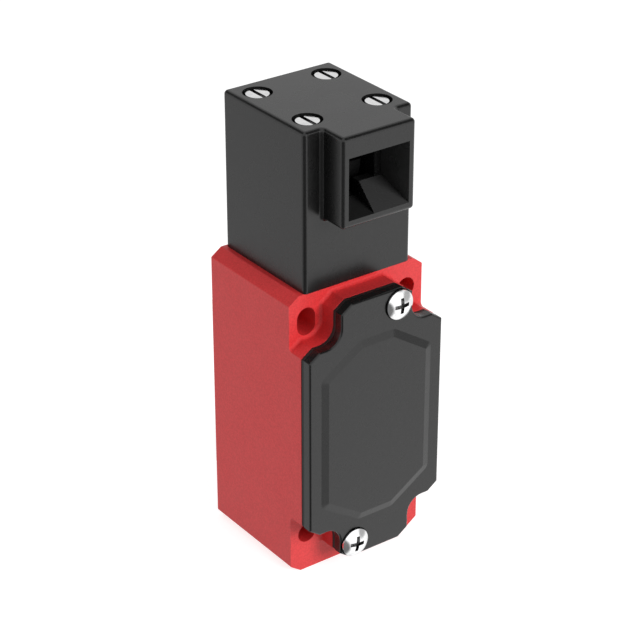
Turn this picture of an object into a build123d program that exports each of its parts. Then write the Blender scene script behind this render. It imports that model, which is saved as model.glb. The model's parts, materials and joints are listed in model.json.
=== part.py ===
from build123d import *
import os
from math import asin, cos, radians, sin

# A safety interlock switch that a key works: a red body, a black cover and a black head.
# X runs along the front, Y from the cover back to the mounting face, and Z up.
# The origin is the middle of the four fixing holes, on the mounting face.
# Lengths are in millimetres and angles in degrees.

# Fixing holes
hole_in = 5.0
hole_pitch_z = 60.0
hole_d = 5.3
slot_length = 7.3
relief_r = 4.4

# Body
body_width = 40.0
body_above = 37.4
body_below = 40.6
ear_depth = 33.3
body_depth = 38.1
corner_x = 3.0
corner_z = 2.1
cover_half = 35.8
root_share = 0.56
edge_r = 0.5
back_wall = 3.0
side_wall = 2.6
wing_wall = 4.3
tab_wall = 2.6
end_wall = 3.0
pad_depth = 3.0
pad_r = 3.4
pad_in = 3.6
relief_depth = 0.3
relief_width = 6.0
relief_end = 23.7

# Cable entry
entry_r = 9.19
entry_mouth = 0.8

# Cover and its screws
gasket_t = 1.1
cover_t = 2.5
cover_edge_r = 0.5
lip_t = 1.3
lip_depth = 2.6
lip_gap = 0.3
panel_margin_x = 3.4
panel_margin_z = 0.3
panel_cut_x = 11.4
panel_cut_z = 7.4
panel_corner_r = 2.2
panel_bevel = 1.9
panel_raise = 0.5
cover_screw_in = 4.2
cover_screw_r = 1.95
cover_screw_length = 10.4
cover_head_r = 3.85
cover_head_h = 2.6
cover_sink = 1.0
cover_sink_gap = 0.25
cover_insert_r = 3.0
cover_insert_length = 8.0
cover_boss_r = 4.0
cover_boss_depth = 11.5

# Head
head_width = 31.5
head_depth = 33.0
head_height = 41.3
head_back = 0.7
head_r = 1.0
snout_half = 10.6
snout_reach = 7.9
snout_height = 23.0
keyway_half = 8.8
keyway_height = 15.7
keyway_sill = 2.0
throat_depth = 10.8
ledge_length = 2.6
ledge_rise = 3.3
ramp_foot_x = -1.35
ledge_left_x = 2.3

# Head screws
head_screw_pitch = 20.2
head_screw_r = 1.7
head_screw_head_r = 2.95
head_screw_head_h = 2.5
head_screw_below = 0.25
head_screw_bite = 4.2
head_sink_gap = 0.75
screw_slot_w = 1.1
screw_slot_depth = 1.1
head_insert_r = 2.4
head_insert_length = 4.5

# Chamber in the head, and the seal under it
chamber_half = 6.9
chamber_back_wall = 3.8
chamber_roof = 4.2
ring_width = 2.0
ring_t = 1.0
ring_margin = 1.15

# Cam wheel and its axle
axis_above_sill = 6.3
cam_reach = 9.0
cam_base_r = 3.0
cam_turn = 60.0
cam_spare_turn = 8.0
lobe_steps = 16
cam_rim_r = 9.2
cam_rim_from_angle = 118.0
cam_rim_to_angle = 305.0
cam_half = 6.0
notch_width = 4.2
notch_floor_r = 5.2
notch_angles = (255.0, 195.0)
axle_r = 2.0
axle_half = 10.5
axle_end_gap = 0.1
axle_bevel = 0.3
washer_r = 4.2

# Plunger, its guide and its seal
plunger_r = 2.0
flange_r = 4.5
flange_t = 2.5
guide_top_gap = 4.4
seat_depth = 6.0
spigot_r = 4.7
spigot_length = 4.4
wiper_r = 3.7
wiper_depth = 2.0
wiper_lip = 1.0
plunger_spring_r = 3.2
plunger_wire_r = 0.4
plunger_spring_turns = 6.0

# Contacts
strip_t = 1.0
strip_in_x = 5.0
strip_out_x = 13.0
tongue_out_x = 9.0
terminal_height = 9.0
tip_x = 7.0
tip_r = 1.5
tip_h = 0.8
bar_t = 0.8
bar_half_y = 2.5
bar_half_x = 8.8
bar_corner_r = 0.8
overtravel = 0.4
bridge_spring_room = 4.4
bridge_spring_r = 1.5
bridge_wire_r = 0.2
bridge_spring_turns = 4.0

# Contact carrier
carrier_half_x = 4.2
carrier_half_y = 3.8
carrier_web = 2.0
carrier_foot = 7.2
carrier_nose = 4.9
carrier_bore_r = 2.4
carrier_bore_depth = 4.0
carrier_spring_r = 1.95
carrier_wire_r = 0.25
carrier_spring_turns = 6.0
spring_room_below = 5.0

# Contact block
block_half = 14.0
block_roof = 1.2
block_floor = 1.2
block_front_wall = 6.0
block_top_gap = 0.3
chamber_side_gap = 0.4
flange_height = 6.0
flange_plate = 3.0
block_screw_in = 4.0
block_screw_r = 1.5
block_screw_length = 7.4
block_screw_head_r = 2.7
block_screw_head_h = 1.9
rib_half = 1.2
rib_depth = 6.0
shelf_half = 1.0
core_margin = 2.5
core_depth = 6.0
core_below_top = 7.2

# Terminal screws and their clamps
terminal_screw_r = 1.6
terminal_screw_length = 6.2
terminal_head_r = 3.0
terminal_head_h = 2.2
clamp_side = 7.0
clamp_t = 1.2

# Shape of every screw, as shares of its own size
rim_share = 0.45
recess_length_share = 1.1
recess_width_share = 0.26
recess_depth_share = 0.6
recess_taper = 0.5
tip_bevel_share = 0.25

# Clearances
running = 0.05
touch = 0.05
slide_gap = 0.1
thread_gap = 0.1
drill_gap = 0.2
spring_gap = 0.04

# Places that follow from the sizes
hole_x = body_width / 2 - hole_in
hole_z = hole_pitch_z / 2
tab_half = hole_x - relief_r
wing_half = hole_z - relief_r
root_r = root_share * (min(body_above, body_below) - cover_half)
ear_y = -ear_depth
front_y = -body_depth
gasket_y = front_y - gasket_t
cover_y = gasket_y - cover_t
cavity_half = body_width / 2 - side_wall
cavity_wing = wing_half - wing_wall
cavity_tab = tab_half - tab_wall
cavity_end = cover_half - end_wall
cavity_back_y = -back_wall
cover_screw_x = tab_half - cover_screw_in
cover_screw_z = cover_half - cover_screw_in
cover_screw_spots = [(cover_screw_x, cover_screw_z), (-cover_screw_x, -cover_screw_z)]
cover_seat_y = cover_y + cover_sink

head_y = -(head_back + head_depth / 2)
head_front_y = head_y - head_depth / 2
head_back_y = head_y + head_depth / 2
head_top = body_above + head_height
snout_y = head_front_y - snout_reach
snout_bottom = head_top - snout_height
keyway_bottom = snout_bottom + keyway_sill
keyway_top = keyway_bottom + keyway_height
throat_y = snout_y + throat_depth
chamber_front_y = throat_y + ledge_length
chamber_back_y = head_back_y - chamber_back_wall
chamber_top = head_top - chamber_roof
head_screw_spots = [
    (x * head_screw_pitch / 2, head_y + y * head_screw_pitch / 2) for x in (-1, 1) for y in (-1, 1)
]
head_seat_z = head_top - head_screw_below - head_screw_head_h

axis_z = keyway_bottom + axis_above_sill
axle_reach = axle_half + axle_end_gap
axle_slot = axle_r + running
stroke = cam_base_r * radians(cam_turn)
plunger_top = axis_z - cam_reach - touch
flange_under = plunger_top - flange_t
guide_top = flange_under - guide_top_gap
spring_seat = guide_top - seat_depth
spigot_end = body_above - spigot_length

bridge_open = stroke + touch
block_top = cavity_wing - block_top_gap
nc_face = block_top - block_roof - strip_t
nc_bar_top = nc_face - tip_h - bridge_open - tip_h
nc_bar_bottom = nc_bar_top - bar_t
nc_window = (nc_bar_bottom - bridge_spring_room, nc_bar_top + overtravel)
no_bar_top = nc_window[0] - carrier_web - bridge_spring_room
no_bar_bottom = no_bar_top - bar_t
no_face = no_bar_bottom - tip_h - touch - tip_h
no_window = (no_bar_bottom - overtravel, no_bar_top + bridge_spring_room)
carrier_bottom = no_window[0] - carrier_foot
carrier_top = block_top + carrier_nose
spring_foot = carrier_bottom - spring_room_below
block_bottom = spring_foot - block_floor
block_back_y = cavity_back_y - pad_depth
chamber_half_y = carrier_half_y + slide_gap
block_chamber_x = bar_half_x + chamber_side_gap
block_front_y = head_y - chamber_half_y - block_front_wall
terminal_y = block_front_y - strip_t
clamp_y = terminal_y - clamp_t
terminal_x = (strip_in_x + strip_out_x) / 2
nc_screw_z = nc_face + strip_t - terminal_height / 2
no_screw_z = no_face - terminal_height / 2
terminal_spots = [(x * terminal_x, z) for x in (-1, 1) for z in (nc_screw_z, no_screw_z)]
block_screw_x = block_half - block_screw_in
block_screw_z = block_bottom - flange_height / 2
block_flange_y = block_back_y - flange_plate


def block(x, y, z):
    """A box between two values along each axis."""
    middle = Pos((x[0] + x[1]) / 2, (y[0] + y[1]) / 2, (z[0] + z[1]) / 2)
    return middle * Box(abs(x[1] - x[0]), abs(y[1] - y[0]), abs(z[1] - z[0]))


def post(x, y, z, r):
    """A round bar that stands between two heights."""
    return Pos(x, y, (z[0] + z[1]) / 2) * Cylinder(r, abs(z[1] - z[0]))


def bar_along_y(x, y, z, r):
    """A round bar that lies along Y."""
    return Pos(x, (y[0] + y[1]) / 2, z) * Rot(90, 0, 0) * Cylinder(r, abs(y[1] - y[0]))


def bar_along_x(x, y, z, r):
    """A round bar that lies along X."""
    return Pos((x[0] + x[1]) / 2, y, z) * Rot(0, 90, 0) * Cylinder(r, abs(x[1] - x[0]))


def from_front(face, y, depth):
    """A face drawn in X and Z, placed at y and thickened towards the front by depth."""
    return extrude(Plane.XZ.offset(-y) * face, depth)


def cut_corner_face(half_x, low, high, cut_x, cut_z):
    """A rectangle in X and Z whose corners are cut off."""
    points = [
        (half_x - cut_x, high),
        (half_x, high - cut_z),
        (half_x, low + cut_z),
        (half_x - cut_x, low),
    ]
    mirrored = [(-x, z) for x, z in reversed(points)]
    return make_face(Polyline(*points, *mirrored, close=True))


def cover_face(inset):
    """The cross that the body's raised middle, the gasket and the cover share."""
    half, r = body_width / 2 - inset, relief_r + inset
    tab, wing, end = hole_x - r, hole_z - r, cover_half - inset
    corner = Polyline((tab - corner_x, end), (tab, end - corner_z), (tab, hole_z))
    corner += CenterArc((hole_x, hole_z), r, 180, 90)
    corner += Polyline((hole_x, wing), (half - corner_x, wing), (half, wing - corner_z))
    right = corner + mirror(corner, Plane.XZ) + Line((half, wing - corner_z), (half, corner_z - wing))
    edges = right + mirror(right, Plane.YZ)
    for z in (end, -end):
        edges += Line((corner_x - tab, z), (tab - corner_x, z))
    return make_face(edges)


def cavity_face(inset):
    """The body's hollow, seen from the front."""
    face = Rectangle(2 * (cavity_half - inset), 2 * (cavity_wing - inset))
    return face + Rectangle(2 * (cavity_tab - inset), 2 * (cavity_end - inset))


def mouth_face(inset):
    """The hollow's mouth, less the bosses for the cover's screws."""
    face = cavity_face(inset)
    for x, z in cover_screw_spots:
        face -= Pos(x, z) * Circle(cover_boss_r + inset)
    return face


def edges_on(solid, outline):
    """The solid's edges that lie where the outline's edges lie."""
    spots = [edge.center() for edge in outline.edges()]
    return [e for e in solid.edges() if any((e.center() - spot).length < running for spot in spots)]


def spring(x, y, z, r, wire_r, turns):
    """A coil spring that stands between two heights."""
    low, high = z[0] + wire_r + spring_gap, z[1] - wire_r - spring_gap
    path = Pos(x, y, low) * Helix((high - low) / turns, high - low, r)
    return sweep(Plane(path @ 0, z_dir=path % 0) * Circle(wire_r), path, is_frenet=True)


def shank(r, length):
    """A screw's plain shank, pointing down from z = 0, with a bevelled tip."""
    bar = post(0, 0, (-length, 0), r)
    return chamfer(bar.faces().sort_by(Axis.Z)[0].edges(), r * tip_bevel_share)


def pan_screw(shank_r, length, head_r, head_h):
    """A domed screw with a cross recess. Its head's seat is at z = 0 and its shank points down."""
    rim, rise = (head_r, head_h * rim_share), head_h * (1 - rim_share)
    dome_r = (head_r**2 + rise**2) / (2 * rise)
    lean = asin(head_r / dome_r) / 2
    shoulder = (dome_r * sin(lean), head_h - dome_r * (1 - cos(lean)))
    profile = Polyline((0, head_h), (0, 0), (head_r, 0), rim) + ThreePointArc(rim, shoulder, (0, head_h))
    head = revolve(Plane.XZ * make_face(profile), Axis.Z)
    length_r, width_r = head_r * recess_length_share, head_r * recess_width_share
    depth = head_h * recess_depth_share
    floor, mouth = (
        Pos(0, 0, head_h + side * depth) * Rectangle(length_r * spread, width_r * spread)
        for side, spread in ((-1, 1 - recess_taper), (1, 1 + recess_taper))
    )
    groove = loft([floor, mouth])
    return head - groove - Rot(0, 0, 90) * groove + shank(shank_r, length)


def facing_front(x, y, z, piece):
    """Turns a piece that points up so that it points to the front, and places it."""
    return Pos(x, y, z) * Rot(90, 0, 0) * piece


def write(name, *solids):
    """Writes one piece, or a group of like pieces, to its own file."""
    export_step(solids[0] if len(solids) == 1 else Compound(children=list(solids)), f"parts/{name}.step")


os.makedirs("parts", exist_ok=True)


def body_housing():
    """The red moulded body: four ears round a raised middle, hollow and open to the front."""
    outline = cut_corner_face(body_width / 2, -body_below, body_above, corner_x, corner_z)
    body = from_front(outline, 0, ear_depth)
    body = fillet([e for e in body.edges() if e.center().Y > ear_y + edge_r], edge_r)
    body += from_front(cover_face(0), 0, body_depth)
    body = fillet(edges_on(body, Plane.XZ.offset(ear_depth) * cover_face(0)), root_r)
    body -= from_front(cavity_face(0), cavity_back_y, body_depth - back_wall)
    for side in (-1, 1):
        body -= bar_along_y(side * hole_x, (-body_depth, 0), side * hole_z, hole_d / 2)
        slot = Pos(side * hole_x, -side * hole_z) * SlotOverall(slot_length, hole_d, rotation=90)
        body -= from_front(slot, 0, body_depth)
        edge = side * body_width / 2
        body -= block((edge, edge - side * relief_width), (0, -relief_depth), (-relief_end, relief_end))
        body += bar_along_y(side * block_screw_x, (cavity_back_y, block_back_y), block_screw_z, pad_r)
        body += bar_along_y(
            side * (block_half - pad_in), (cavity_back_y, block_back_y), block_top - pad_in, pad_r
        )
        body -= bar_along_y(
            side * block_screw_x,
            (block_back_y, block_flange_y + block_screw_length + drill_gap),
            block_screw_z,
            block_screw_r,
        )
    boss_y = front_y + cover_boss_depth
    for x, z in cover_screw_spots:
        boss = bar_along_y(x, (front_y, boss_y), z, cover_boss_r)
        body += boss & from_front(cavity_face(0), boss_y, cover_boss_depth)
        body -= bar_along_y(x, (front_y, front_y + cover_screw_length), z, cover_insert_r)
    for x, y in head_screw_spots:
        body -= post(x, y, (body_above - head_insert_length, body_above), head_insert_r)
    body -= post(0, head_y, (cavity_wing, body_above), spigot_r + slide_gap)
    entry = post(0, head_y, (-body_below, -cavity_end), entry_r)
    mouth = Cone(entry_r + entry_mouth, entry_r, entry_mouth)
    mouth = Pos(0, head_y, entry_mouth / 2 - body_below) * mouth
    return body - entry - mouth


def cover_inserts():
    """Two brass threaded bushes moulded into the body's bosses."""
    bushes = []
    for x, z in cover_screw_spots:
        span = (front_y, front_y + cover_insert_length)
        bush = bar_along_y(x, span, z, cover_insert_r)
        bushes.append(bush - bar_along_y(x, span, z, cover_screw_r + thread_gap))
    return bushes


def head_inserts():
    """Four brass threaded bushes in the body's top for the head's long screws."""
    span = (body_above - head_insert_length, body_above)
    return [
        post(x, y, span, head_insert_r) - post(x, y, span, head_screw_r + thread_gap)
        for x, y in head_screw_spots
    ]


def front_cover():
    """The black cover: a cross-shaped plate with a raised panel, two screw seats and a lip inside."""
    plate = from_front(cover_face(0), gasket_y, cover_t)
    plate = fillet(plate.faces().sort_by(Axis.Y)[0].edges(), cover_edge_r)
    half_x, half_z = body_width / 2 - panel_margin_x, wing_half - panel_margin_z
    outline = cut_corner_face(half_x, -half_z, half_z, panel_cut_x, panel_cut_z)
    outline = fillet(outline.vertices(), panel_corner_r)
    panel = from_front(outline, cover_y + panel_raise, 2 * panel_raise)
    crown = panel.faces().sort_by(Axis.Y)[0]
    plate += chamfer(crown.edges(), panel_bevel, panel_raise, reference=crown)
    lip = mouth_face(lip_gap) - mouth_face(lip_gap + lip_t)
    plate += from_front(lip, gasket_y + lip_depth, lip_depth)
    for x, z in cover_screw_spots:
        plate -= bar_along_y(x, (cover_y, cover_seat_y), z, cover_head_r + cover_sink_gap)
        plate -= bar_along_y(x, (cover_y, gasket_y), z, cover_screw_r + drill_gap)
    return plate


def cover_gasket():
    """The flat rubber seal between the body's raised middle and the cover."""
    sheet = cover_face(slide_gap) - mouth_face(0)
    for x, z in cover_screw_spots:
        sheet -= Pos(x, z) * Circle(cover_screw_r + drill_gap)
    return from_front(sheet, front_y, gasket_t)


def cover_screws():
    """Two captive pan-head screws."""
    screw = pan_screw(cover_screw_r, cover_screw_length, cover_head_r, cover_head_h)
    return [facing_front(x, cover_seat_y, z, screw) for x, z in cover_screw_spots]


def head_housing():
    """The black head: a block with the keyway's snout in front and a chamber that is open below."""
    half_x = head_width / 2
    head = block((-half_x, half_x), (head_front_y, head_back_y), (body_above, head_top))
    head += block((-snout_half, snout_half), (snout_y, head_y), (snout_bottom, head_top))
    head = fillet([e for e in head.edges() if e.center().Z > body_above + head_r], head_r)
    throat = block((-keyway_half, keyway_half), (snout_y, throat_y), (keyway_bottom, keyway_top))
    neck = block((-chamber_half, chamber_half), (throat_y, chamber_front_y), (keyway_bottom, keyway_top))
    head -= throat + neck - keyway_ramp()
    head -= block(
        (-chamber_half, chamber_half), (chamber_front_y, chamber_back_y), (body_above, chamber_top)
    )
    reach = (-axle_reach, axle_reach)
    head -= block(reach, (head_y - axle_slot, head_y + axle_slot), (body_above, axis_z))
    head -= bar_along_x(reach, head_y, axis_z, axle_slot)
    for x, y in head_screw_spots:
        head -= post(x, y, (body_above, head_top), head_screw_r + drill_gap)
        head -= post(x, y, (head_seat_z, head_top), head_screw_head_r + head_sink_gap)
    return head - ring_space(0)


def keyway_ramp():
    """The raised side of the keyway's floor: a ramp up from the mouth, then a level ledge."""
    ledge_z = keyway_bottom + ledge_rise
    plan = make_face(
        Polyline(
            (ramp_foot_x, snout_y),
            (keyway_half, snout_y),
            (keyway_half, throat_y),
            (ledge_left_x, throat_y),
            close=True,
        )
    )
    column = extrude(Pos(0, 0, keyway_bottom) * plan, ledge_rise)
    foot, heel = (snout_y, keyway_bottom), (throat_y, keyway_bottom)
    side = make_face(Polyline(foot, heel, (throat_y, ledge_z), close=True))
    slope = extrude(Plane.YZ * side, keyway_half, both=True)
    ledge = block((ledge_left_x, chamber_half), (throat_y, chamber_front_y), (keyway_bottom, ledge_z))
    return (column & slope) + ledge


def ring_space(gap):
    """The square ring round the chamber's mouth that the head's seal fills."""
    outer_x, outer_y = head_width - 2 * (ring_margin + gap), head_depth - 2 * (ring_margin + gap)
    inner = 2 * (ring_width - 2 * gap)
    ring = Rectangle(outer_x, outer_y) - Rectangle(outer_x - inner, outer_y - inner)
    return extrude(Pos(0, head_y, body_above) * ring, ring_t)


def head_screws():
    """Four long slotted cheese-head screws that hold the head down."""
    length = head_seat_z - body_above + head_screw_bite
    head = post(0, 0, (0, head_screw_head_h), head_screw_head_r)
    head = fillet(head.faces().sort_by(Axis.Z)[-1].edges(), head_screw_below)
    slot_floor = head_screw_head_h - screw_slot_depth
    half_w, reach = screw_slot_w / 2, head_screw_head_r
    head -= block((-half_w, half_w), (-reach, reach), (slot_floor, head_screw_head_h))
    screw = head + shank(head_screw_r, length)
    return [Pos(x, y, head_seat_z) * screw for x, y in head_screw_spots]


def cam_wheel():
    """The wheel that the key turns. Its lower lobe is an involute, so the plunger moves evenly."""

    def rim(angle):
        return cam_rim_r * sin(radians(angle)), -cam_rim_r * cos(radians(angle))

    def lobe(angle):
        turn = radians(angle)
        reach = cam_reach - cam_base_r * turn
        return (
            reach * sin(turn) - cam_base_r * cos(turn),
            -reach * cos(turn) - cam_base_r * sin(turn),
        )

    steps = range(lobe_steps + 1)
    span = cam_turn + 2 * cam_spare_turn
    curve = [lobe(span * step / lobe_steps - cam_spare_turn) for step in steps]
    edges = Spline(*curve)
    start, end = rim(cam_rim_from_angle), rim(cam_rim_to_angle)
    edges += Line(curve[-1], start)
    edges += ThreePointArc(start, rim((cam_rim_from_angle + cam_rim_to_angle) / 2), end)
    edges += Line(end, curve[0])
    wheel = extrude(Plane.YZ * make_face(edges), cam_half, both=True)
    for angle in notch_angles:
        side = notch_width / 2
        notch = block((-cam_half, cam_half), (-side, side), (notch_floor_r, 2 * cam_rim_r))
        wheel -= Rot(angle - 180, 0, 0) * notch
    wheel -= bar_along_x((-cam_half, cam_half), 0, 0, axle_r + running)
    return Pos(0, head_y, axis_z) * wheel


def cam_axle():
    """The steel pin that the cam wheel turns on."""
    pin = bar_along_x((-axle_half, axle_half), head_y, axis_z, axle_r)
    return chamfer(pin.edges().filter_by(GeomType.CIRCLE), axle_bevel)


def cam_washers():
    """Two thin washers that keep the cam wheel off the chamber's walls."""
    inner, outer = cam_half + running, chamber_half - running
    return [
        bar_along_x((side * inner, side * outer), head_y, axis_z, washer_r)
        - bar_along_x((side * inner, side * outer), head_y, axis_z, axle_r + running)
        for side in (-1, 1)
    ]


def head_guide():
    """The block that fills the chamber's foot. It guides the plunger and holds the axle up."""
    half_x, half_y = chamber_half - slide_gap, axle_slot - slide_gap
    depth = (chamber_front_y + slide_gap, chamber_back_y - slide_gap)
    guide = block((-half_x, half_x), depth, (body_above, guide_top))
    reach, between = axle_reach - slide_gap, chamber_half + slide_gap
    middle = (head_y - half_y, head_y + half_y)
    guide += block((-reach, reach), middle, (body_above, axis_z))
    guide -= block((-between, between), middle, (guide_top, axis_z))
    guide -= bar_along_x((-axle_reach, axle_reach), head_y, axis_z, axle_r)
    guide += post(0, head_y, (spigot_end, body_above), spigot_r)
    guide -= post(0, head_y, (spring_seat, guide_top), plunger_spring_r + plunger_wire_r + drill_gap)
    guide -= post(0, head_y, (spigot_end, guide_top), plunger_r + running)
    return guide - post(0, head_y, (spigot_end, spigot_end + wiper_depth), wiper_r)


def head_plunger():
    """The steel plunger: a flat head under the cam and a stem down into the body."""
    flange = post(0, head_y, (flange_under, plunger_top), flange_r)
    stem = post(0, head_y, (carrier_top + touch, plunger_top), plunger_r)
    return flange + stem


def plunger_wiper():
    """The rubber ring that wipes the plunger's stem, with a lip that points down."""
    low, high = spigot_end, spigot_end + wiper_depth
    inner, root = plunger_r + running, spigot_end + wiper_lip
    profile = Polyline(
        (inner, low),
        (inner + wiper_lip / 2, low),
        (inner + wiper_lip, root),
        (wiper_r, root),
        (wiper_r, high),
        (inner + wiper_lip / 2, high),
        close=True,
    )
    return Pos(0, head_y, 0) * revolve(Plane.XZ * make_face(profile), Axis.Z)


def contact_block():
    """The moulded base of the contacts: a shaft for the carrier, terminal shelves and two feet."""
    width = (-block_half, block_half)
    base = block(width, (block_front_y, block_back_y), (block_bottom, block_top))
    base -= block(
        (-block_chamber_x, block_chamber_x),
        (head_y - chamber_half_y, head_y + chamber_half_y),
        (spring_foot, block_top),
    )
    ribs = (block_front_y - rib_depth, block_front_y)
    shelf_z = (nc_screw_z + no_screw_z) / 2
    base += block((-rib_half, rib_half), ribs, (block_bottom, block_top))
    base += block(width, ribs, (shelf_z - shelf_half, shelf_z + shelf_half))
    base += block(width, (block_flange_y, block_back_y), (block_bottom - flange_height, block_bottom))
    for side in (-1, 1):
        flange = (block_flange_y, block_back_y)
        base -= bar_along_y(side * block_screw_x, flange, block_screw_z, block_screw_r + thread_gap)
        base -= block(
            (side * core_margin, side * (block_half - core_margin)),
            (block_back_y - core_depth, block_back_y),
            (block_bottom + core_margin, block_top - core_below_top),
        )
        for strip_z in (nc_face, no_face - strip_t):
            base -= block(
                (side * (strip_in_x - touch), side * (strip_out_x + touch)),
                (block_front_y, head_y - chamber_half_y),
                (strip_z, strip_z + strip_t),
            )
    for x, z in terminal_spots:
        deep = clamp_y + terminal_screw_length + drill_gap
        base -= bar_along_y(x, (block_front_y, deep), z, terminal_screw_r + thread_gap)
    return base


def terminal_strips(face_z):
    """A pair of bent brass strips: a tongue into the shaft and a plate behind the terminal screw."""
    strips = []
    top, tongue_y = face_z + strip_t, head_y + bar_half_y
    plate = (terminal_y, block_front_y)
    for side in (-1, 1):
        width = (side * strip_in_x, side * strip_out_x)
        strip = block(width, (terminal_y, head_y - chamber_half_y), (face_z, top))
        strip += block((side * strip_in_x, side * tongue_out_x), (terminal_y, tongue_y), (face_z, top))
        strip += block(width, plate, (top - terminal_height, top))
        hole_z = top - terminal_height / 2
        strips.append(strip - bar_along_y(side * terminal_x, plate, hole_z, terminal_screw_r + touch))
    return strips


def tips(z):
    """A pair of silver contact tips."""
    return [post(side * tip_x, head_y, (z, z + tip_h), tip_r) for side in (-1, 1)]


def bridge(bottom_z):
    """One moving contact bar."""
    bar = block(
        (-bar_half_x, bar_half_x), (head_y - bar_half_y, head_y + bar_half_y), (bottom_z, bottom_z + bar_t)
    )
    return fillet(bar.edges().filter_by(Axis.Z), bar_corner_r)


def contact_carrier():
    """The moulded slider that carries both contact bars, each in a window of its own."""
    half_y = bar_half_y + slide_gap
    carrier = block(
        (-carrier_half_x, carrier_half_x),
        (head_y - carrier_half_y, head_y + carrier_half_y),
        (carrier_bottom, carrier_top),
    )
    for window in (nc_window, no_window):
        carrier -= block((-carrier_half_x, carrier_half_x), (head_y - half_y, head_y + half_y), window)
    return carrier - post(0, head_y, (carrier_bottom, carrier_bottom + carrier_bore_depth), carrier_bore_r)


def bridge_springs():
    """The two small springs that press the contact bars onto their seats."""
    return [
        spring(0, head_y, z, bridge_spring_r, bridge_wire_r, bridge_spring_turns)
        for z in ((nc_window[0], nc_bar_bottom), (no_bar_top, no_window[1]))
    ]


def terminal_clamps():
    """Four square wire clamps under the terminal screws."""
    clamps = []
    for x, z in terminal_spots:
        half = clamp_side / 2
        plate = block((x - half, x + half), (clamp_y, terminal_y), (z - half, z + half))
        clamps.append(plate - bar_along_y(x, (clamp_y, terminal_y), z, terminal_screw_r + touch))
    return clamps


def terminal_screws():
    """Four terminal screws."""
    screw = pan_screw(terminal_screw_r, terminal_screw_length, terminal_head_r, terminal_head_h)
    return [facing_front(x, clamp_y, z, screw) for x, z in terminal_spots]


def block_screws():
    """Two screws that hold the contact block to the body's back wall."""
    screw = pan_screw(block_screw_r, block_screw_length, block_screw_head_r, block_screw_head_h)
    return [facing_front(side * block_screw_x, block_flange_y, block_screw_z, screw) for side in (-1, 1)]


write("body_housing", body_housing())
write("cover_inserts", *cover_inserts())
write("head_inserts", *head_inserts())
write("front_cover", front_cover())
write("cover_gasket", cover_gasket())
write("cover_screws", *cover_screws())
write("head_housing", head_housing())
write("head_seal", ring_space(running))
write("head_screws", *head_screws())
write("cam_wheel", cam_wheel())
write("cam_axle", cam_axle())
write("cam_washers", *cam_washers())
write("head_guide", head_guide())
write("head_plunger", head_plunger())
write(
    "plunger_spring",
    spring(0, head_y, (spring_seat, flange_under), plunger_spring_r, plunger_wire_r, plunger_spring_turns),
)
write("plunger_wiper", plunger_wiper())
write("contact_block", contact_block())
write("nc_strips", *terminal_strips(nc_face))
write("no_strips", *terminal_strips(no_face - strip_t))
write("fixed_tips", *tips(nc_face - tip_h), *tips(no_face))
write("nc_bridge", bridge(nc_bar_bottom))
write("no_bridge", bridge(no_bar_bottom))
write("bridge_tips", *tips(nc_bar_top), *tips(no_bar_bottom - tip_h))
write("contact_carrier", contact_carrier())
write("bridge_springs", *bridge_springs())
write(
    "carrier_spring",
    spring(
        0,
        head_y,
        (spring_foot, carrier_bottom + carrier_bore_depth),
        carrier_spring_r,
        carrier_wire_r,
        carrier_spring_turns,
    ),
)
write("terminal_clamps", *terminal_clamps())
write("terminal_screws", *terminal_screws())
write("block_screws", *block_screws())
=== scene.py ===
import json
from math import cos, pi, radians, sin

import bmesh
import bpy
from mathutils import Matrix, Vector

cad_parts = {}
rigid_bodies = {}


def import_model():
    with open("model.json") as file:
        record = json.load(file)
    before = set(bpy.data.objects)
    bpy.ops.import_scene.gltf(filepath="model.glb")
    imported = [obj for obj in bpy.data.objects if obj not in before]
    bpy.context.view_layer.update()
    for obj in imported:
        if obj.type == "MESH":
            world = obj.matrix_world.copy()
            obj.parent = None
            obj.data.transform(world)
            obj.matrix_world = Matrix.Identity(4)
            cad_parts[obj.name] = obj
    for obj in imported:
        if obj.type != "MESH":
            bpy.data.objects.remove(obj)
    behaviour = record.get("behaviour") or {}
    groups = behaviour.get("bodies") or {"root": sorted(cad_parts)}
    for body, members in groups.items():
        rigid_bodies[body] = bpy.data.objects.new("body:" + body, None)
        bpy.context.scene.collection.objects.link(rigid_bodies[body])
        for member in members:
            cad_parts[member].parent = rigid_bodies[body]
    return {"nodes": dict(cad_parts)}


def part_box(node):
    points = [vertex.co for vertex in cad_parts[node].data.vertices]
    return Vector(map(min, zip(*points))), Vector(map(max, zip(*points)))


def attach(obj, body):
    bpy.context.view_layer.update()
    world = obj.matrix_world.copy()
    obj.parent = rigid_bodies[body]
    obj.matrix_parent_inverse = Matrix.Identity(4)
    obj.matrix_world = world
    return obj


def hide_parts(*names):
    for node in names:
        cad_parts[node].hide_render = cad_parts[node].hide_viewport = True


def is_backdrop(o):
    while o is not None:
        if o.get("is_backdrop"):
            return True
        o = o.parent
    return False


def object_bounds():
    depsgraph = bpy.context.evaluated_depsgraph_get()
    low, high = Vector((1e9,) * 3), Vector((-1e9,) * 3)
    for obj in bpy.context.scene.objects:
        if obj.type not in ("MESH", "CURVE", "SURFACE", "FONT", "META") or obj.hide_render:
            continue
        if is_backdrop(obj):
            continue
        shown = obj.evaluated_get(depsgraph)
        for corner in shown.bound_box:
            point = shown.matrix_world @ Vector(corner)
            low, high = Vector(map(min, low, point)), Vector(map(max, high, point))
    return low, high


for leftover in list(bpy.data.objects):
    bpy.data.objects.remove(leftover)
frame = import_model()
nodes = frame["nodes"]
cad_low, cad_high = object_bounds()


# The body. It is one deep red moulding of glass-filled plastic, with four ears for the fixing
# screws and a raised middle that the cover closes. The mould's etched face leaves a fine
# pebbled grain.
MM = 0.001
NOISE_LOW, NOISE_HIGH = 0.35, 0.65  # most of a noise pattern's values lie between these


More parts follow.
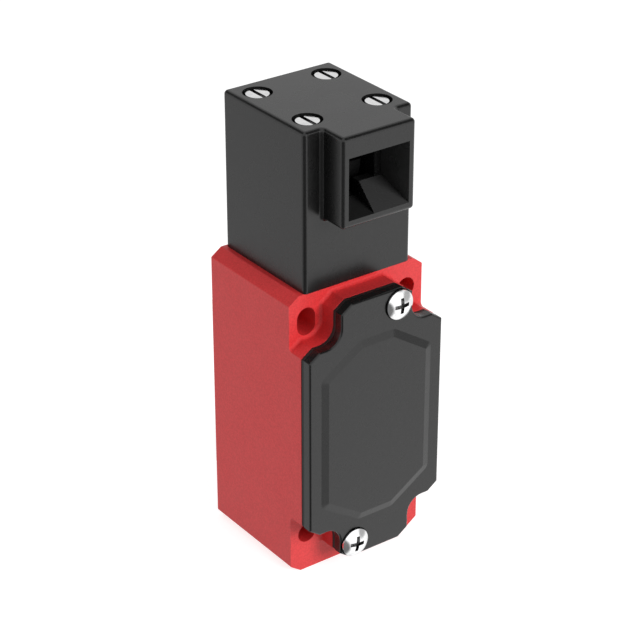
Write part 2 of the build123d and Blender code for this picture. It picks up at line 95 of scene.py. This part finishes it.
def node_material(name):
    """A material with its surface shader and the Object coordinates that its patterns follow."""
    material = bpy.data.materials.new(name)
    material.use_nodes = True
    tree = material.node_tree
    coordinates = tree.nodes.new("ShaderNodeTexCoord")
    return material, tree, tree.nodes["Principled BSDF"], coordinates.outputs["Object"]


def clouds(tree, place, size, detail=2.0):
    """A random pattern whose spots are about size metres wide."""
    node = tree.nodes.new("ShaderNodeTexNoise")
    node.inputs["Scale"].default_value = 1 / size
    node.inputs["Detail"].default_value = detail
    tree.links.new(place, node.inputs["Vector"])
    return node.outputs["Fac"]


def shade(tree, pattern, dark, light, target):
    """Gives a colour socket a tone between two colours, as the pattern goes."""
    node = tree.nodes.new("ShaderNodeValToRGB")
    low, high = node.color_ramp.elements
    low.position, high.position = NOISE_LOW, NOISE_HIGH
    low.color, high.color = (*dark, 1), (*light, 1)
    tree.links.new(pattern, node.inputs["Fac"])
    tree.links.new(node.outputs["Color"], target)


def spread(tree, pattern, low, high, target):
    """Gives a number socket a value between two limits, as the pattern goes."""
    node = tree.nodes.new("ShaderNodeMapRange")
    node.inputs["From Min"].default_value = NOISE_LOW
    node.inputs["From Max"].default_value = NOISE_HIGH
    node.inputs["To Min"].default_value = low
    node.inputs["To Max"].default_value = high
    tree.links.new(pattern, node.inputs["Value"])
    tree.links.new(node.outputs["Result"], target)


def relief(tree, pattern, height, shader):
    """Raises the surface by the pattern, on top of any relief that it has."""
    node = tree.nodes.new("ShaderNodeBump")
    node.inputs["Distance"].default_value = height
    tree.links.new(pattern, node.inputs["Height"])
    normal = shader.inputs["Normal"]
    if normal.is_linked:
        tree.links.new(normal.links[0].from_socket, node.inputs["Normal"])
    tree.links.new(node.outputs["Normal"], normal)


def moulded(name, dark, light, roughness, grain, height):
    """Moulded plastic: a faint mottle, a gloss that varies a little and the grain of the mould."""
    material, tree, shader, place = node_material(name)
    mottle = clouds(tree, place, grain * 2, detail=3.0)
    shade(tree, mottle, dark, light, shader.inputs["Base Color"])
    gloss, change = clouds(tree, place, 7 * MM), 0.015
    spread(tree, gloss, roughness - change, roughness + change, shader.inputs["Roughness"])
    relief(tree, clouds(tree, place, grain), height, shader)
    return material, tree, shader, place


def finish(material, *names):
    """Gives CAD nodes their finish."""
    for name in names:
        for slot in nodes[name].material_slots:
            slot.material = material


red, *_ = moulded(
    "red_body", dark=(0.62, 0.032, 0.034), light=(0.73, 0.044, 0.047), roughness=0.46,
    grain=0.22 * MM, height=0.016 * MM)
finish(red, "body_housing")


# The cable entry's thread. It is an M20 x 1.5 thread in the body's foot, moulded in one with
# the body round a core that screws out of the mould.
def maths(tree, operation, first, second):
    """One sum on two patterns or numbers."""
    node = tree.nodes.new("ShaderNodeMath")
    node.operation = operation
    for value, socket in ((first, node.inputs[0]), (second, node.inputs[1])):
        if isinstance(value, (int, float)):
            socket.default_value = value
        else:
            tree.links.new(value, socket)
    return node.outputs[0]


def new_tree(name, wanted):
    """A node tree that makes a mesh, with its inputs' names and kinds, and its two end nodes."""
    tree = bpy.data.node_groups.new(name, "GeometryNodeTree")
    tree.interface.new_socket("Mesh", in_out="OUTPUT", socket_type="NodeSocketGeometry")
    for label, kind in wanted:
        tree.interface.new_socket(label, in_out="INPUT", socket_type=f"NodeSocket{kind}")
    given, made = tree.nodes.new("NodeGroupInput"), tree.nodes.new("NodeGroupOutput")
    return tree, given.outputs, made.inputs["Mesh"]


def winding(tree, given, radius, height, width, resolution):
    """A ridge that winds up from the foot of a right-handed thread. Its section is a diamond
    that is widest at the radius, and reaches its height inwards and outwards from there."""
    new, join = tree.nodes.new, tree.links.new
    line = new("GeometryNodeCurveSpiral")
    line.inputs["Reverse"].default_value = True
    line.inputs["Resolution"].default_value = resolution
    join(maths(tree, "DIVIDE", given["Length"], given["Pitch"]), line.inputs["Rotations"])
    join(radius, line.inputs["Start Radius"])
    join(radius, line.inputs["End Radius"])
    join(given["Length"], line.inputs["Height"])
    ridge = new("GeometryNodeCurvePrimitiveQuadrilateral")
    ridge.mode = "KITE"
    join(maths(tree, "MULTIPLY", height, 2.0), ridge.inputs["Width"])
    flank = maths(tree, "DIVIDE", width, 2.0)
    join(flank, ridge.inputs["Bottom Height"])
    join(flank, ridge.inputs["Top Height"])
    upright = new("GeometryNodeSetCurveNormal")
    upright.mode = "Z_UP"
    join(line.outputs["Curve"], upright.inputs["Curve"])
    thread = new("GeometryNodeCurveToMesh")
    thread.inputs["Fill Caps"].default_value = True
    join(upright.outputs["Curve"], thread.inputs["Curve"])
    join(ridge.outputs["Curve"], thread.inputs["Profile Curve"])
    moved = new("GeometryNodeTransform")
    join(thread.outputs["Mesh"], moved.inputs["Geometry"])
    join(given["Foot"], moved.inputs["Translation"])
    return moved.outputs["Geometry"]


def settle(tree, shape, material, made):
    """Ends a tree: makes its instances real and gives the mesh its material."""
    real = tree.nodes.new("GeometryNodeRealizeInstances")
    tree.links.new(shape, real.inputs["Geometry"])
    clad = tree.nodes.new("GeometryNodeSetMaterial")
    tree.links.new(real.outputs["Geometry"], clad.inputs["Geometry"])
    tree.links.new(material, clad.inputs["Material"])
    tree.links.new(clad.outputs["Geometry"], made)


def grown(name, start, tree, values):
    """A piece whose plain mesh a tree makes, from its starting mesh and its inputs' values."""
    piece = bpy.data.objects.new(name, start)
    bpy.context.scene.collection.objects.link(piece)
    modifier = piece.modifiers.new("tree", "NODES")
    modifier.node_group = tree
    for socket in tree.interface.items_tree:
        if socket.in_out == "INPUT" and socket.name in values:
            modifier[socket.identifier] = values[socket.name]
    made = piece.evaluated_get(bpy.context.evaluated_depsgraph_get())
    piece.data = bpy.data.meshes.new_from_object(made)
    piece.modifiers.remove(modifier)
    sharpest_smooth = radians(32)
    piece.data.shade_smooth()
    piece.data.set_sharp_from_angle(angle=sharpest_smooth)
    return piece


entry_y, entry_r, plain_mouth, foot_wall = -17.2 * MM, 9.19 * MM, 1.0 * MM, 7.0 * MM
entry_pitch, ridge_h, ridge_w = 1.5 * MM, 0.4 * MM, 0.8 * MM
tree, given, made = new_tree("moulded thread", (
    ("Radius", "Float"), ("Ridge height", "Float"), ("Ridge width", "Float"), ("Pitch", "Float"),
    ("Length", "Float"), ("Foot", "Vector"), ("Plastic", "Material")))
ridge = winding(tree, given, given["Radius"], given["Ridge height"], given["Ridge width"],
                resolution=72)
settle(tree, ridge, given["Plastic"], made)
entry_thread = grown("entry_thread", bpy.data.meshes.new("start"), tree, {
    "Radius": entry_r, "Ridge height": ridge_h, "Ridge width": ridge_w, "Pitch": entry_pitch,
    "Length": foot_wall - plain_mouth - ridge_w, "Plastic": red,
    "Foot": (0.0, entry_y, cad_low.z + plain_mouth + ridge_w / 2)})
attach(entry_thread, "switch")


# The bushes and the contacts. Brass bushes are pressed into the body's bosses for the cover's
# and the head's screws. The contacts' strips and bars are stamped from sheet brass, and
# silver tips are riveted to them.
def metal(name, dark, light, roughness, scratches=0.0008 * MM):
    """Bare metal: slight stains, and the fine marks of handling."""
    material, tree, shader, place = node_material(name)
    shader.inputs["Metallic"].default_value = 1.0
    stains = clouds(tree, place, 1.2 * MM, detail=3.0)
    shade(tree, stains, dark, light, shader.inputs["Base Color"])
    gloss, change = clouds(tree, place, 0.8 * MM), 0.05
    spread(tree, gloss, roughness - change, roughness + change, shader.inputs["Roughness"])
    relief(tree, clouds(tree, place, 0.25 * MM), scratches, shader)
    return material


brass = metal("brass", dark=(0.68, 0.49, 0.22), light=(0.80, 0.60, 0.30), roughness=0.26)
finish(brass, "cover_inserts", "head_inserts", "nc_strips", "no_strips", "nc_bridge", "no_bridge")
silver = metal("silver", dark=(0.76, 0.74, 0.70), light=(0.88, 0.86, 0.82), roughness=0.3)
finish(silver, "fixed_tips", "bridge_tips")


# The contact block, its carrier and the guide in the head's foot. Block and guide are moulded in
# black glass-filled plastic. The carrier that slides in the block is an off-white moulding of
# low friction.
inner, *_ = moulded(
    "inner_black", dark=(0.010, 0.010, 0.011), light=(0.018, 0.018, 0.019), roughness=0.38,
    grain=0.3 * MM, height=0.004 * MM)
finish(inner, "contact_block", "head_guide")
carrier, *_ = moulded(
    "carrier_white", dark=(0.68, 0.67, 0.62), light=(0.77, 0.76, 0.72), roughness=0.36,
    grain=0.3 * MM, height=0.004 * MM)
finish(carrier, "contact_carrier")


# The springs and the small steel parts. The springs are wound from wire. The clamps for the
# wires and the cam wheel's washers are pressed from sheet, and the plunger and the wheel's
# axle are turned from bar.
wire = metal("spring_steel", dark=(0.42, 0.42, 0.43), light=(0.55, 0.55, 0.56), roughness=0.24)
finish(wire, "plunger_spring", "carrier_spring", "bridge_springs")
steel = metal("pin_steel", dark=(0.52, 0.52, 0.53), light=(0.62, 0.62, 0.63), roughness=0.28)
finish(steel, "terminal_clamps", "head_plunger", "cam_axle", "cam_washers")


# The screws. Each is a cold-headed steel blank with a rolled thread and a bright zinc plating.
# The cover's are domed with a cross recess, and so are the terminals' and the block's smaller
# ones. The head's four long cheese-head screws have a straight slot.
def turned_blank(profile, sides=64):
    """A solid turned about Z. Its profile runs from the axis to the axis, as radius and height."""
    shape = bmesh.new()
    rings = []
    for radius, height in profile:
        turns = [2 * pi * i / sides for i in range(sides)] if radius else [0]
        rings.append([shape.verts.new((radius * cos(a), radius * sin(a), height)) for a in turns])
    for lower, upper in zip(rings, rings[1:]):
        for i in range(sides):
            j = (i + 1) % sides
            corners = [lower[i % len(lower)], lower[j % len(lower)],
                       upper[j % len(upper)], upper[i % len(upper)]]
            shape.faces.new(list(dict.fromkeys(corners)))
    bmesh.ops.recalc_face_normals(shape, faces=shape.faces)
    mesh = bpy.data.meshes.new("blank")
    shape.to_mesh(mesh)
    shape.free()
    return bpy.data.objects.new("blank", mesh)


def screw_blank(head_r, rim, head_h, root_r, crest_r, length, neck):
    """A screw before its thread: its head on z = 0, a plain neck, the thread's root and a tip."""
    tip_r, tip_h = root_r * 0.7, root_r * 0.4
    profile = [(0, -length), (tip_r, -length), (root_r, -length + tip_h)]
    if neck:
        profile += [(root_r, -neck), (crest_r, -neck + crest_r - root_r), (crest_r, 0)]
    else:
        profile += [(root_r, 0)]
    edge = head_r * 0.06
    profile += [(head_r - edge, 0), (head_r, edge)]
    rise, largest_bevel = head_h - rim, 0.45 * MM
    if rise > largest_bevel:
        dome_r = (head_r ** 2 + rise ** 2) / (2 * rise)
        steps = 10
        for step in range(steps):
            radius = head_r * cos(pi / 2 * step / steps)
            profile.append((radius, head_h - dome_r + (dome_r ** 2 - radius ** 2) ** 0.5))
    else:
        corner = rise * 0.3
        profile += [(head_r, rim), (head_r - corner, head_h - corner), (head_r - rise, head_h)]
    profile.append((0, head_h))
    return turned_blank(profile)


def cutter(bars):
    """Bars that cut a recess. Each is given by half its length and width, the two levels that
    it reaches, and the share of its plan that is left at the lower one."""
    shape = bmesh.new()
    for half_x, half_y, low, high, taper in bars:
        for corner in bmesh.ops.create_cube(shape, size=2.0)["verts"]:
            share, level = (1.0, high) if corner.co.z > 0 else (taper, low)
            corner.co = Vector((corner.co.x * half_x * share, corner.co.y * half_y * share, level))
    mesh = bpy.data.meshes.new("recess")
    shape.to_mesh(mesh)
    shape.free()
    return bpy.data.objects.new("recess", mesh)


def cross(head_r, head_h):
    """A cross recess: two tapered bars, cut three quarters into the head."""
    reach, width, taper = head_r * 0.67, head_r * 0.16, 0.7
    floor_z, above = head_h * 0.25, head_h * 2
    return cutter([(reach, width, floor_z, above, taper), (width, reach, floor_z, above, taper)])


def screw_tree():
    """Cuts the recess in the blank, rolls the thread on it, and sets one screw at each spot."""
    tree, given, made = new_tree("screws at their spots", (
        ("Spots", "Geometry"), ("Blank", "Object"), ("Recess", "Object"), ("Root radius", "Float"),
        ("Thread depth", "Float"), ("Pitch", "Float"), ("Length", "Float"), ("Foot", "Vector"),
        ("Plating", "Material")))
    new, join = tree.nodes.new, tree.links.new
    blank, recess = new("GeometryNodeObjectInfo"), new("GeometryNodeObjectInfo")
    join(given["Blank"], blank.inputs["Object"])
    join(given["Recess"], recess.inputs["Object"])
    mark = new("GeometryNodeStoreNamedAttribute")
    mark.data_type = "FLOAT"
    mark.domain = "FACE"
    mark.inputs["Name"].default_value = "recess"
    mark.inputs["Value"].default_value = 1.0
    join(recess.outputs["Geometry"], mark.inputs["Geometry"])
    cut = new("GeometryNodeMeshBoolean")
    cut.operation = "DIFFERENCE"
    cut.solver = "EXACT"
    cut.inputs["Self Intersection"].default_value = True
    join(blank.outputs["Geometry"], cut.inputs["Mesh 1"])
    join(mark.outputs["Geometry"], cut.inputs["Mesh 2"])
    width_in_pitches = 0.8
    width = maths(tree, "MULTIPLY", given["Pitch"], width_in_pitches)
    ridge = winding(tree, given, given["Root radius"], given["Thread depth"], width,
                    resolution=28)
    whole = new("GeometryNodeJoinGeometry")
    join(cut.outputs["Mesh"], whole.inputs["Geometry"])
    join(ridge, whole.inputs["Geometry"])
    aim = new("GeometryNodeInputNamedAttribute")
    aim.data_type = "FLOAT_VECTOR"
    aim.inputs["Name"].default_value = "aim"
    turn = new("FunctionNodeEulerToRotation")
    join(aim.outputs["Attribute"], turn.inputs["Euler"])
    at_spots = new("GeometryNodeInstanceOnPoints")
    join(given["Spots"], at_spots.inputs["Points"])
    join(whole.outputs["Geometry"], at_spots.inputs["Instance"])
    join(turn.outputs["Rotation"], at_spots.inputs["Rotation"])
    settle(tree, at_spots.outputs["Instances"], given["Plating"], made)
    return tree


def overlay(tree, share, tone, colour):
    """Lays a plain grey tone over what a colour socket has, by the share that a mask gives."""
    node = tree.nodes.new("ShaderNodeMix")
    node.data_type = "RGBA"
    node.inputs["B"].default_value = (tone, tone, tone, 1)
    tree.links.new(share, node.inputs["Factor"])
    tree.links.new(colour.links[0].from_socket, node.inputs["A"])
    tree.links.new(node.outputs["Result"], colour)


plating = metal(
    "bright_screw", dark=(0.80, 0.80, 0.81), light=(0.90, 0.90, 0.90), roughness=0.13,
    scratches=0.0005 * MM)
tree = plating.node_tree
# Painted shade: the cross recesses and slots are painted a darker grey than the plating.
in_recess = tree.nodes.new("ShaderNodeAttribute")
in_recess.attribute_name = "recess"
recess_painted_shade = 0.55
colour = tree.nodes["Principled BSDF"].inputs["Base Color"]
overlay(tree, in_recess.outputs["Fac"], recess_painted_shade, colour)
screws = screw_tree()


def set_screws(name, body, node, spots, recess, head_r, rim, head_h, root_r, crest_r, length,
               pitch, neck=0.0):
    """Sets screws at their spots, each a place and a turn, in place of their CAD node."""
    blank = screw_blank(head_r, rim, head_h, root_r, crest_r, length, neck)
    run_out = 0.4 * MM
    mesh = bpy.data.meshes.new(name)
    mesh.from_pydata([place for place, turn in spots], [], [])
    aims = mesh.attributes.new("aim", "FLOAT_VECTOR", "POINT")
    for i, (place, turn) in enumerate(spots):
        aims.data[i].vector = turn
    for tool in (blank, recess):
        bpy.context.scene.collection.objects.link(tool)
    piece = grown(name, mesh, screws, {
        "Blank": blank, "Recess": recess, "Plating": plating, "Root radius": root_r,
        "Thread depth": crest_r - root_r, "Pitch": pitch, "Length": length - neck - 2 * run_out,
        "Foot": (0.0, 0.0, run_out - length)})
    for tool in (blank, recess):
        bpy.data.objects.remove(tool)
    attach(piece, body)
    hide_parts(node)


forward = pi / 2  # lays a screw that stands on Z down with its head to the front

# Two hold the cover, on a diagonal.
cover_x, cover_y, cover_z, cover_head_r = 6.4 * MM, -40.7 * MM, 31.6 * MM, 3.85 * MM
set_screws(
    "cover_fixings", "cover", "cover_screws",
    [((cover_x, cover_y, cover_z), (forward, 0, 0)),
     ((-cover_x, cover_y, -cover_z), (forward, radians(8), 0))],
    cross(head_r=cover_head_r, head_h=2.6 * MM),
    head_r=cover_head_r, rim=1.55 * MM, head_h=2.58 * MM,
    root_r=1.58 * MM, crest_r=1.93 * MM, length=10.4 * MM, pitch=0.7 * MM, neck=2.0 * MM,
)

# Four tighten the clamps on the wires.
low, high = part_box("terminal_screws")
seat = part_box("terminal_clamps")[0].y
terminal_x, terminal_head_r, terminal_head_h = 9.0 * MM, 3.0 * MM, 2.2 * MM
set_screws(
    "terminal_fixings", "switch", "terminal_screws",
    [((side * terminal_x, seat, z), (forward, turn, 0))
     for z in (high.z - terminal_head_r, low.z + terminal_head_r)
     for side, turn in ((-1, 0.3), (1, -0.5))],
    cross(terminal_head_r, terminal_head_h),
    head_r=terminal_head_r, rim=1.2 * MM, head_h=terminal_head_h,
    root_r=1.28 * MM, crest_r=1.58 * MM, length=6.2 * MM, pitch=0.6 * MM,
)

# Two hold the contact block to the body's back wall.
low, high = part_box("block_screws")
block_head_r, block_head_h = 2.7 * MM, 1.9 * MM
block_x, block_z, block_seat = high.x - block_head_r, (low.z + high.z) / 2, low.y + block_head_h
set_screws(
    "block_fixings", "switch", "block_screws",
    [((side * block_x, block_seat, block_z), (forward, turn, 0))
     for side, turn in ((-1, 0.7), (1, 0.2))],
    cross(block_head_r, block_head_h),
    head_r=block_head_r, rim=0.9 * MM, head_h=block_head_h,
    root_r=1.18 * MM, crest_r=1.48 * MM, length=7.4 * MM, pitch=0.5 * MM,
)

# Four go down through the head's corners into the bushes in the body.
head_x, head_y, head_pitch, head_seat = 10.1 * MM, -17.2 * MM, 10.1 * MM, 75.95 * MM
slot_half_width, slot_reach, slot_floor, slot_above = 0.55 * MM, 4.0 * MM, 1.4 * MM, 4.0 * MM
straight = 1.0
set_screws(
    "head_fixings", "switch", "head_screws",
    [((i * head_x, head_y + j * head_pitch, head_seat), (0, 0, 0))
     for i in (-1, 1) for j in (-1, 1)],
    cutter([(slot_half_width, slot_reach, slot_floor, slot_above, straight)]),
    head_r=2.95 * MM, rim=2.3 * MM, head_h=2.5 * MM,
    root_r=1.4 * MM, crest_r=1.68 * MM, length=42.75 * MM, pitch=0.6 * MM, neck=33.0 * MM,
)


# The seals. They are soft black nitrile rubber, duller than the plastics: cut from sheet under
# the cover, and moulded under the head and round the plunger's stem.
rubber, *_ = moulded(
    "seal_rubber", dark=(0.006, 0.006, 0.006), light=(0.010, 0.010, 0.010), roughness=0.62,
    grain=0.35 * MM, height=0.006 * MM)
finish(rubber, "cover_gasket", "head_seal", "plunger_wiper")


# The cover. It is a flat black moulding with a raised eight-sided panel, and its satin face
# comes from a finer mould than the body's. Two captive screws hold it over its seal.
satin_black = {
    "dark": (0.0065, 0.0065, 0.0065), "light": (0.0095, 0.0095, 0.0095), "roughness": 0.27,
    "grain": 0.25 * MM, "height": 0.0004 * MM}
cover_black, *_ = moulded("black_cover", **satin_black)
finish(cover_black, "front_cover")


# The head. It is a black moulding like the cover, with the keyway's snout in front. Its ramp
# and walls are painted a lighter grey, a painted highlight for the light they catch. The cam
# wheel that the key turns is a black moulding of low friction, and runs on a steel axle.
head_black, tree, shader, place = moulded("black_head", **satin_black)
keyway_half, keyway_floor, keyway_top, keyway_back = 8.9 * MM, 57.5 * MM, 73.5 * MM, -30.5 * MM
position = tree.nodes.new("ShaderNodeSeparateXYZ")
tree.links.new(place, position.inputs[0])
surface = tree.nodes.new("ShaderNodeNewGeometry")
facing = tree.nodes.new("ShaderNodeSeparateXYZ")
tree.links.new(surface.outputs["True Normal"], facing.inputs[0])
# Painted highlight: lighter on the ramp the more it leans forwards, and on the walls all over.
least, more, mostly = 0.4, -2.4, 0.5
lean = maths(tree, "ADD", maths(tree, "MULTIPLY", facing.outputs["Y"], more), least)
ramp = maths(tree, "MULTIPLY", maths(tree, "GREATER_THAN", facing.outputs["Z"], mostly), lean)
sideways = maths(tree, "ABSOLUTE", facing.outputs["X"], 0.0)
keyway_painted_light = maths(tree, "ADD", ramp, maths(tree, "GREATER_THAN", sideways, mostly))
for axis, operation, limit in (
    ("Z", "LESS_THAN", keyway_top), ("Z", "GREATER_THAN", keyway_floor),
    ("Y", "LESS_THAN", keyway_back),
    ("X", "LESS_THAN", keyway_half), ("X", "GREATER_THAN", -keyway_half),
):
    within = maths(tree, operation, position.outputs[axis], limit)
    keyway_painted_light = maths(tree, "MULTIPLY", keyway_painted_light, within)
# The grey of the painted highlight, laid over the black of the keyway's ramp and walls.
painted_highlight_grey = 0.05
overlay(tree, keyway_painted_light, painted_highlight_grey, shader.inputs["Base Color"])
finish(head_black, "head_housing")

cam, _, shader, _ = moulded(
    "cam_black", dark=(0.004, 0.004, 0.004), light=(0.007, 0.007, 0.007), roughness=0.5,
    grain=0.3 * MM, height=0.003 * MM)
shader.inputs["Specular IOR Level"].default_value = 0.25
finish(cam, "cam_wheel")


# The studio. A pale paper floor, three soft lamps, and a bright room of light panels. The dark
# gaps between the panels show as streaks in the gloss.
def outwards(azimuth, elevation):
    """The way from the switch to a spot round it. Azimuth 0 is in front, and 90 towards +X."""
    turn, lift = radians(azimuth), radians(elevation)
    return Vector((sin(turn) * cos(lift), -cos(turn) * cos(lift), sin(lift)))


def studio_lamp(name, azimuth, elevation, size, power, distance=0.9):
    """A square soft lamp that faces the switch."""
    data = bpy.data.lights.new(name, "AREA")
    data.shape = "SQUARE"
    data.size = size
    data.energy = power
    lamp = bpy.data.objects.new(name, data)
    bpy.context.scene.collection.objects.link(lamp)
    away = outwards(azimuth, elevation)
    lamp.location = (cad_low + cad_high) / 2 + distance * away
    lamp.rotation_euler = away.to_track_quat("Z", "Y").to_euler()
    lamp.visible_glossy = False


studio_lamp("front_lamp", azimuth=12, elevation=24, size=0.4, power=7.1)
studio_lamp("side_lamp", azimuth=-134, elevation=8, size=0.5, power=3.1)
studio_lamp("top_lamp", azimuth=-165, elevation=72, size=0.6, power=2.1)

white, room_strength = (1, 1, 1, 1), 0.14
world = bpy.data.worlds.new("studio")
world.use_nodes = True
bpy.context.scene.world = world
tree = world.node_tree
room = tree.nodes["Background"]
room.inputs["Strength"].default_value = room_strength
direction = tree.nodes.new("ShaderNodeTexCoord").outputs["Generated"]


def panel(behind, towards, inner, outer, change):
    """Changes the light that gloss mirrors from one way: all of it within the inner angle, and
    nothing past the outer one."""
    near = tree.nodes.new("ShaderNodeVectorMath")
    near.operation = "DOT_PRODUCT"
    near.inputs[1].default_value = Vector(towards).normalized()
    tree.links.new(direction, near.inputs[0])
    edge = tree.nodes.new("ShaderNodeMapRange")
    edge.interpolation_type = "SMOOTHSTEP"
    edge.inputs["From Min"].default_value = cos(radians(outer))
    edge.inputs["From Max"].default_value = cos(radians(inner))
    edge.inputs["To Min"].default_value = 1.0
    edge.inputs["To Max"].default_value = 1.0 + change
    tree.links.new(near.outputs["Value"], edge.inputs["Value"])
    return maths(tree, "MULTIPLY", edge.outputs["Result"], behind)


panels = 1.0
for towards, inner, outer, change in (
    # Dark gaps, which the edges at the top left, the left front and the top front mirror, and
    # the bevels that look forwards and to the right.
    ((-0.45, 0.62, 0.64), 12, 34, -0.95),
    ((-0.58, -0.58, -0.57), 35, 46, -0.84),
    ((0.50, -0.46, 0.74), 22, 36, -0.95),
    ((0.83, -0.56, -0.07), 10, 22, -0.60),
    # Dimmer panels, which the left and the top faces mirror.
    ((-0.52, 0.71, -0.47), 16, 42, -0.27),
    ((0.52, 0.71, 0.47), 22, 48, -0.19),
    # Brighter panels, which the front faces mirror.
    ((0.38, -0.90, -0.20), 38, 60, 0.23),
    ((0.25, -0.95, -0.05), 8, 30, 0.18),
    ((0.60, -0.26, -0.76), 10, 26, 0.22),
):
    panels = panel(panels, towards, inner, outer, change)
gloss, open_white = (tree.nodes.new("ShaderNodeBackground") for _ in range(2))
for light in (room, gloss, open_white):
    light.inputs["Color"].default_value = white
tree.links.new(panels, gloss.inputs["Strength"])
open_white.inputs["Strength"].default_value = 1.0


def seen(tree):
    """One for what the camera sees, straight or through glass, and nought for other light."""
    sight = tree.nodes.new("ShaderNodeLightPath")
    return maths(
        tree, "MAXIMUM", sight.outputs["Is Camera Ray"], sight.outputs["Is Transmission Ray"])


def either(choice, first, second):
    """The first light where the choice is nought, and the second where it is one."""
    node = tree.nodes.new("ShaderNodeMixShader")
    tree.links.new(choice, node.inputs["Fac"])
    tree.links.new(first, node.inputs[1])
    tree.links.new(second, node.inputs[2])
    return node.outputs[0]


mirrored = tree.nodes.new("ShaderNodeLightPath").outputs["Is Glossy Ray"]
polished = either(mirrored, room.outputs[0], gloss.outputs[0])
backdrop = either(seen(tree), polished, open_white.outputs[0])
tree.links.new(backdrop, tree.nodes["World Output"].inputs["Surface"])

half_floor, floor_z = 2.0, cad_low.z
corners = [(x * half_floor, y * half_floor, floor_z)
           for x, y in ((-1, -1), (1, -1), (1, 1), (-1, 1))]
sheet = bpy.data.meshes.new("floor")
sheet.from_pydata(corners, [], [(0, 1, 2, 3)])
floor = bpy.data.objects.new("floor", sheet)
bpy.context.scene.collection.objects.link(floor)
paper, tree, shader, place = node_material("pale_floor")
fibres = clouds(tree, place, 50 * MM)
shade(tree, fibres, (0.49, 0.49, 0.49), (0.51, 0.51, 0.51), shader.inputs["Base Color"])
shader.inputs["Roughness"].default_value = 0.9
shader.inputs["Specular IOR Level"].default_value = 0.0
shader.inputs["Emission Color"].default_value = white
from_middle = tree.nodes.new("ShaderNodeVectorMath")
from_middle.operation = "LENGTH"
tree.links.new(place, from_middle.inputs[0])
# The paper glows a little, more to the camera and most far off, so that it fades into white.
near_edge, far_edge, near_glow, far_glow, steady_glow = 0.5, 1.5, 0.50, 0.58, 0.30
afar = tree.nodes.new("ShaderNodeMapRange")
afar.interpolation_type = "SMOOTHSTEP"
afar.inputs["From Min"].default_value = near_edge
afar.inputs["From Max"].default_value = far_edge
afar.inputs["To Min"].default_value = near_glow
afar.inputs["To Max"].default_value = far_glow
tree.links.new(from_middle.outputs["Value"], afar.inputs["Value"])
glow = maths(tree, "MULTIPLY", seen(tree), afar.outputs["Result"])
glow = maths(tree, "ADD", glow, steady_glow)
tree.links.new(glow, shader.inputs["Emission Strength"])
sheet.materials.append(paper)
floor.visible_glossy = False
floor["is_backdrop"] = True


# The camera. It stands where it stood for the photograph, and looks down through a long lens
# at the switch's front left corner.
camera = bpy.data.objects.new("camera", bpy.data.cameras.new("camera"))
bpy.context.scene.collection.objects.link(camera)
camera.data.sensor_width = 36.0
camera.data.lens = 121.36
camera.data.clip_start = 0.01
away, camera_distance = outwards(azimuth=-36.168, elevation=28.113), 0.47847
aimed_at = Vector((-0.03006, -0.05950, 0.04643))
camera.location = aimed_at + camera_distance * away
camera.rotation_euler = away.to_track_quat("Z", "Y").to_euler()
bpy.context.scene.camera = camera
bpy.context.scene.view_settings.view_transform = "Standard"

low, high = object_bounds()
